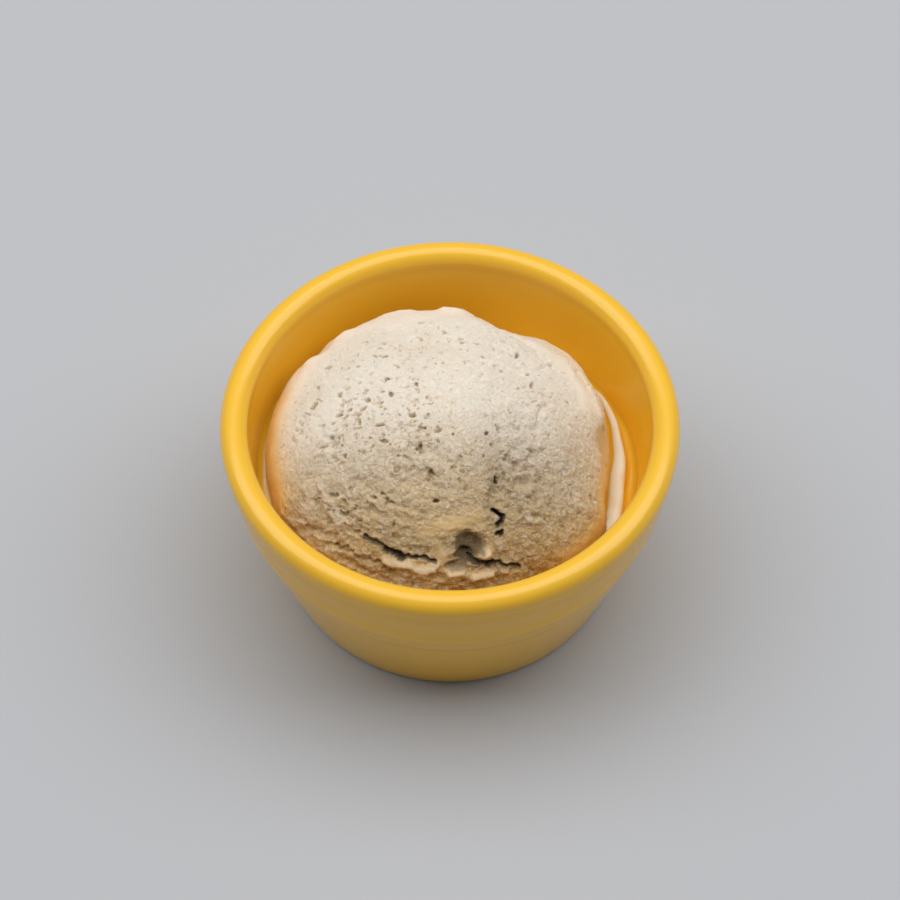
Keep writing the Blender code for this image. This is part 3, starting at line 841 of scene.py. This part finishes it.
def gelatoMaterial():
    look = {
        "cream": rgb(0.86, 0.77, 0.65),
        "tan": rgb(0.71, 0.59, 0.42),
        # painted shade and bounce light towards the front
        "low": rgb(0.62, 0.41, 0.15),
        # painted shade for the pits, cuts and hollows between crumbs
        "pit": rgb(0.42, 0.285, 0.15),
        "shade": rgb(0.37, 0.265, 0.14),
        # painted highlight on the ledges
        "ledge": rgb(0.72, 0.575, 0.39),
        # painted orange bounce light
        "glow": rgb(0.82, 0.54, 0.17),
        "paintedShadow": rgb(0.045, 0.030, 0.016),
        "roughness": 0.72,
        "translucency": 0.5,
        "bleed": (0.9, 0.6, 0.38),
        "bleedDepth": 0.0008,
    }
    material, graph = newMaterial("creamGelato")
    place = graph.val("ShaderNodeTexCoord", {}, {}, "Object").scaled(1000.0)

    def stored(name):
        return graph.val("ShaderNodeAttribute", {"attribute_name": name}, {}, "Fac")

    smooth, paintedGlow, ledgeHighlight, shade, pit, deep = (
        stored(name) for name in ("smooth", "paintedGlow", "ledgeHighlight", "shade", "pit", "deep")
    )
    paintedShadow, low, crumbly, grainy, pitted, crest = (
        stored(name) for name in ("paintedShadow", "low", "crumbly", "grainy", "pitted", "crest")
    )
    rough = 1.0 - smooth
    broad = graph.noise(place, 0.11, 2.0)
    mottle = graph.noise(place, 1.1, 3.0, 0.6)
    bent = place + graph.sway(place, 0.8).scaled(1.3)
    # grains, the creases between clumps of them, and small torn pits
    grains = graph.noise(place, 1.7, 4.0, 0.72)
    crease = 1.0 - (abs(graph.noise(bent, 0.85, 3.0, 0.6) - 0.5) * 16.0).least(1.0)
    edge = 0.690 - pitted * 0.065 - crumbly * 0.03 - (broad - 0.5) * 0.12 + smooth * 0.3
    field = graph.noise(place + Vector((5.0, 17.0, 3.0)), 0.95, 2.5, 0.55)
    torn = ((field - edge) / 0.08).between(0.0, 1.0)
    # torn slits that follow the layers
    flow = graph.val("ShaderNodeAttribute", {"attribute_name": "grain"}, {}, "Vector")
    slits = graph.noise(flow + (bent - place).scaled(0.6), 1.0, 3.0, 0.6)
    torn = torn.most(((slits - 0.615) / 0.05).between(0.0, 1.0) * stored("streaky") * rough)
    # painted shade in the tiny hollows between grains
    speckShade = ((grains - 0.60) / 0.06).between(0.0, 1.0) * (crumbly * crumbly * 0.9 + grainy * 0.4) * rough
    colour = graph.colours(broad.between(0.42, 0.72) * 0.35, look["cream"], look["tan"])
    # painted shade towards the front and the edges
    colour = graph.colours(low, colour, look["low"])
    colour = graph.colours(mottle.between(0.5, 0.72) * 0.22 * rough, colour, look["tan"])
    # painted orange bounce light from the cup at the edges
    glowEdge = paintedGlow * (0.7 + graph.noise(place, 0.3, 2.0) * 0.6)
    colour = graph.colours(shade, colour, look["shade"])
    colour = graph.colours(glowEdge.least(1.0), colour, look["glow"])
    # painted highlight on the crests of the crumbs, and painted shade between them
    colour = graph.colours(crest.between(0.0, 0.45) * 0.55, colour, look["cream"])
    colour = graph.colours((0.0 - crest).between(0.12, 0.5) * 0.5, colour, look["pit"])
    # painted highlight on the ledges and lobes that face up
    colour = graph.colours(ledgeHighlight * 0.85, colour, look["ledge"])
    # painted highlight on the raised grains
    colour = graph.colours((1.0 - grains.between(0.38, 0.5)) * 0.5 * rough, colour, look["cream"])
    # painted shade in the pits, deep cuts, torn slits, tiny hollows and creases
    hollowShade = pit * 0.68 + deep * 0.95 + torn * 0.55 + speckShade * 0.42 + crease * rough * crumbly * 0.2
    colour = graph.colours(hollowShade.least(0.95), colour, look["pit"])
    # painted shadow, near black, deep in the crack, the slits and the hole
    colour = graph.colours(paintedShadow, colour, look["paintedShadow"])
    heights = (grains * -1.0 - crease * 0.3) * (rough * 0.92 + 0.08)
    heights = heights * (0.1 + crumbly * crumbly * 0.68) - torn * 0.2
    roughness = look["roughness"] - smooth * 0.26 - paintedGlow * 0.12
    shader = graph.node(
        "ShaderNodeBsdfPrincipled",
        {"subsurface_method": "RANDOM_WALK"},
        {
            "Base Color": colour,
            "Roughness": roughness,
            "IOR": 1.35,
            "Subsurface Weight": look["translucency"],
            "Subsurface Radius": look["bleed"],
            "Subsurface Scale": look["bleedDepth"],
            "Normal": graph.bump(1.0, heights),
        },
    )
    closeMaterial(graph, shader)
    return material


def fineBall():
    ball = bmesh.new()
    bmesh.ops.create_icosphere(ball, subdivisions=scoopSizes["coarse"], radius=1.0)
    lowest = math.cos(math.radians(scoopSizes["fineCone"]))
    upper = [face for face in ball.faces if face.calc_center_median().normalized().z > lowest]
    edges = list({edge for face in upper for edge in face.edges})
    bmesh.ops.subdivide_edges(ball, edges=edges, cuts=scoopSizes["fineCuts"], use_grid_fill=True)
    bmesh.ops.triangulate(ball, faces=ball.faces[:])
    for vertex in ball.verts:
        vertex.co.normalize()
    return ball


def makeScoop(material):
    ball = fineBall()
    directions = np.array([vertex.co[:] for vertex in ball.verts])
    hub = np.array(scoopSizes["hub"])
    wall = reachOf(directions, lambda points: inHollow(points, scoopSizes["clearance"]))
    dome = reachOf(directions, inDome)
    plain = hub + directions * dome[:, None]
    fade = eased(plain[:, 2], *scoopSizes["fade"])
    u, v, lean, turn = skinOf(plain)
    placed, hollowShade = placedRelief(u, v)
    scoop = dome + placed * fade - tuckedIn(turn, plain[:, 2])
    surface = hub + directions * np.minimum(wall, scoop)[:, None]
    masks, grain = surfaceMasks(u, v, lean, turn, plain[:, 2])
    # where the scoop presses on the wall it stays as smooth as the wall
    masks["shown"] = np.clip((wall - scoop - 0.35) / 0.7, 0.0, 1.0) * eased(plain[:, 2], 17.0, 22.0)
    masks.update({name: share * fade for name, share in hollowShade.items()})
    for vertex, place in zip(ball.verts, surface):
        vertex.co = Vector(place) * mm
    bmesh.ops.recalc_face_normals(ball, faces=ball.faces[:])
    mesh = bpy.data.meshes.new("scoop")
    ball.to_mesh(mesh)
    ball.free()
    for name, values in masks.items():
        mesh.attributes.new(name, "FLOAT", "POINT").data.foreach_set("value", values.astype(np.float32))
    flow = mesh.attributes.new("grain", "FLOAT_VECTOR", "POINT")
    flow.data.foreach_set("vector", grain.astype(np.float32).ravel())
    scoop = newPiece("scoop", mesh)
    runTree(scoop, scoopTree(scoopRelief), scoopRelief, material)
    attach(scoop, "root")
    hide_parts("gelato")
    print("scoop roughened:", len(scoop.data.polygons), "faces")
    return scoop


# The melted ring between the scoop and the wall


meltSizes = {
    "clearance": 0.07,
    "line": (  # height at which it meets the wall, at angles from +X
        (-60.0, 17.0), (-32.0, 22.0), (-14.0, 24.6), (0.0, 25.0), (12.0, 25.2), (28.0, 24.6), (60.0, 23.4),
        (110.0, 24.0), (156.0, 27.4), (180.0, 28.4), (198.0, 29.8), (216.0, 30.6), (234.0, 28.0),
        (262.0, 21.0), (300.0, 17.0),
    ),
    # the film up the wall: how far in, how far up; its edge is set a little into the glaze
    "apron": ((-0.05, 1.2), (0.0, 1.05), (0.07, 0.7), (0.25, 0.35), (0.6, 0.1)),
    "flat": (  # its surface from the wall inwards: how far in, how far down, and how orange it is; the orange is the thin film near the wall and painted bounce light and shade in the gap beside the scoop
        (0.9, 0.14, 0.6), (1.1, 0.05, 0.1), (1.3, 0.05, 0.1), (1.5, 0.05, 0.4), (1.8, 0.1, 0.8),
        (2.2, 0.2, 1.0), (2.8, 0.5, 1.0), (3.6, 0.8, 1.0), (4.6, 1.1, 1.0), (6.0, 1.35, 1.0), (9.0, 1.5, 1.0),
    ),
    "fold": (  # and where it stands in a fold beside the scoop
        (-0.12, 2.5, 1.0), (0.0, 1.9, 1.0), (0.05, 0.9, 0.4), (0.4, 0.2, 0.0), (0.95, 0.0, 0.0),
        (1.75, 0.1, 0.0), (2.5, 0.45, 0.1), (2.9, 0.8, 1.0), (3.2, 1.1, 1.0), (3.8, 1.4, 1.0),
        (7.0, 1.6, 1.0),
    ),
    "stripEnds": (194.0, 206.0, 224.0, 236.0),  # angles of the pale strip on the left
    "foldTop": 27.6,
    "foldAcross": (  # of its outer edge, at angles from +X
        (-48.0, 36.6), (-29.5, 36.0), (-22.0, 36.1), (-17.0, 35.7), (-12.0, 35.3), (-6.4, 35.1),
        (4.8, 35.2), (13.0, 35.2), (25.0, 35.9), (38.0, 36.1), (52.0, 36.8),
    ),
    "foldWidth": ((-3.0, 1.1), (5.0, 0.85), (13.0, 0.65), (25.0, 0.45), (38.0, 0.2)),
    "foldEnds": (-50.0, -34.0, 26.0, 44.0),  # angles between which it grows and dies away
    "thick": 3.0,
    "waves": ((0.12, 9.0, 0.0), (0.07, 23.0, 1.0)),  # height, how many round the cup, and shift
    "turns": 360,
}


def meltHeight(angle):
    for (start, low), (end, high) in zip(meltSizes["line"], meltSizes["line"][1:]):
        if start <= angle <= end:
            return low + (1.0 - math.cos(math.pi * (angle - start) / (end - start))) / 2.0 * (high - low)
    return meltSizes["line"][0][1]


def meltMaterial():
    look = {
        "cream": rgb(0.97, 0.92, 0.76),
        "rich": rgb(0.90, 0.68, 0.36),
        "film": rgb(0.97, 0.54, 0.028),  # so thin that the glaze shows through; also painted bounce light and shade beside the scoop
        "roughness": 0.30,
        "translucency": 0.25,
        "bleed": (1.0, 0.6, 0.25),
        "bleedDepth": 0.0015,
    }
    material, graph = newMaterial("meltedGelato")
    place = graph.val("ShaderNodeTexCoord", {}, {}, "Object").scaled(1000.0)
    flow = graph.noise(place * Vector((1.0, 1.0, 0.35)), 0.25, 3.0, 0.55)
    froth = graph.noise(place, 1.6, 2.0)
    colour = graph.colours(flow.between(0.4, 0.75) * 0.4, look["cream"], look["rich"])
    filmTintAndGlow = graph.val("ShaderNodeAttribute", {"attribute_name": "filmTintAndGlow"}, {}, "Fac")
    colour = graph.colours(filmTintAndGlow, colour, look["film"])
    shader = graph.node(
        "ShaderNodeBsdfPrincipled",
        {"subsurface_method": "RANDOM_WALK"},
        {
            "Base Color": colour,
            "Roughness": look["roughness"] + (froth - 0.5) * 0.12,
            "IOR": 1.35,
            "Subsurface Weight": look["translucency"],
            "Subsurface Radius": look["bleed"],
            "Subsurface Scale": look["bleedDepth"],
            "Normal": graph.bump(0.5, flow * 0.5 + froth * 0.03),
        },
    )
    closeMaterial(graph, shader)
    return material


def makeMelt():
    ring = bmesh.new()
    loops = []
    filmTintAndGlow = []
    turns = meltSizes["turns"]
    first = meltSizes["line"][0][0]
    start, full, fading, end = meltSizes["foldEnds"]
    stripStart, stripFull, stripFading, stripEnd = meltSizes["stripEnds"]

    def onWall(height):
        return float(wallAt(height)) - meltSizes["clearance"]

    for i in range(turns):
        degrees = first + 360.0 * i / turns
        angle = math.radians(degrees)
        wave = sum(high * math.sin(angle * count + shift) for high, count, shift in meltSizes["waves"])
        rim = meltHeight(degrees) + wave
        edge = onWall(rim)
        fold = float(eased(degrees, start, full) * (1.0 - eased(degrees, fading, end)))
        foldEdge = float(np.interp(degrees, *zip(*meltSizes["foldAcross"]))) + wave * 0.6
        foldWidth = float(np.interp(degrees, *zip(*meltSizes["foldWidth"])))
        top = []
        # orange where it is thin, as the wall shows through, and painted bounce light and shade in the gap
        # beside the scoop
        strip = float(eased(degrees, stripStart, stripFull) * (1.0 - eased(degrees, stripFading, stripEnd)))
        for inward, up in meltSizes["apron"]:
            top.append((onWall(rim + up) - inward, rim + up))
            filmTintAndGlow.append(1.0 - 0.8 * strip * (up < 1.0))
        for (inward, drop, plain), (foldIn, foldDrop, beside) in zip(meltSizes["flat"], meltSizes["fold"]):
            flat = np.array((edge - inward, rim - drop))
            folded = np.array((foldEdge - foldIn * foldWidth, meltSizes["foldTop"] + wave * 2.0 - foldDrop))
            top.append(tuple(flat + (folded - flat) * fold))
            filmTintAndGlow.append(plain + (beside - plain) * fold - 0.8 * strip * plain)
        low = rim - meltSizes["thick"]
        inner = top[-1][0]
        outer = onWall(low)
        section = top + [(inner, low), ((inner + outer) / 2, low - 0.2), (outer, low)]
        section += [(onWall(rim + up), rim + up) for up in (-1.5, 0.0, 0.8)]
        filmTintAndGlow += [1.0] * 6
        across, along = math.cos(angle) * mm, math.sin(angle) * mm
        loops.append([ring.verts.new((r * across, r * along, z * mm)) for r, z in section])
    for here, there in zip(loops, loops[1:] + loops[:1]):
        for j in range(len(here)):
            k = (j + 1) % len(here)
            ring.faces.new((here[j], there[j], there[k], here[k]))
    bmesh.ops.recalc_face_normals(ring, faces=ring.faces[:])
    mesh = bpy.data.meshes.new("meltedRing")
    ring.to_mesh(mesh)
    ring.free()
    mesh.shade_smooth()
    mesh.attributes.new("filmTintAndGlow", "FLOAT", "POINT").data.foreach_set("value", filmTintAndGlow)
    mesh.materials.append(meltMaterial())
    melt = newPiece("meltedRing", mesh)
    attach(melt, "root")
    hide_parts("gelato")
    print("melted ring laid:", len(mesh.polygons), "faces")
    return melt


# The studio


studio = {
    "tilt": 54.3,  # how far the camera looks down, degrees
    "distance": 0.6,
    "aim": 0.03275,
    "lens": 121.16,
    "world": 0.15,
    "sky": rgb(0.94, 0.96, 1.0),
    "floor": rgb(0.50, 0.51, 0.53),
    "floorHalf": 2.0,
    "key": {"at": (0.0, 0.16, 1.0), "wide": 3.2, "deep": 0.9, "power": 21.5},
}


def softLight(name, settings):
    light = bpy.data.lights.new(name, "AREA")
    light.energy = settings["power"]
    light.shape = "RECTANGLE"
    light.size = settings["wide"]
    light.size_y = settings["deep"]
    obj = bpy.data.objects.new(name, light)
    bpy.context.scene.collection.objects.link(obj)
    obj.location = settings["at"]
    obj.rotation_euler = (Vector((0.0, 0.0, 0.03)) - obj.location).to_track_quat("-Z", "Y").to_euler()


def makeStudio():
    scene = bpy.context.scene
    tilt = math.radians(studio["tilt"])
    camera = bpy.data.objects.new("camera", bpy.data.cameras.new("camera"))
    scene.collection.objects.link(camera)
    aim = Vector((0.0, 0.0, studio["aim"]))
    camera.location = aim + Vector((0.0, -math.cos(tilt), math.sin(tilt))) * studio["distance"]
    camera.rotation_euler = (aim - camera.location).to_track_quat("-Z", "Y").to_euler()
    camera.data.sensor_width = 36.0
    camera.data.lens = studio["lens"]
    scene.camera = camera
    world = bpy.data.worlds.new("studio")
    scene.world = world
    world.use_nodes = True
    world.node_tree.nodes["Background"].inputs["Color"].default_value = studio["sky"]
    world.node_tree.nodes["Background"].inputs["Strength"].default_value = studio["world"]
    softLight("keyLight", studio["key"])
    scene.view_settings.view_transform = "Standard"
    mesh = bpy.data.meshes.new("floor")
    side = studio["floorHalf"]
    corners = [(-side, -side, 0.0), (side, -side, 0.0), (side, side, 0.0), (-side, side, 0.0)]
    mesh.from_pydata(corners, [], [(0, 1, 2, 3)])
    floor = newPiece("floor", mesh)
    material, graph = newMaterial("paleFloor")
    shader = graph.node("ShaderNodeBsdfPrincipled", {}, {"Base Color": studio["floor"], "Roughness": 0.85})
    closeMaterial(graph, shader)
    mesh.materials.append(material)
    print("studio set")


makeStudio()
makeCup()
makeScoop(gelatoMaterial())
makeMelt()
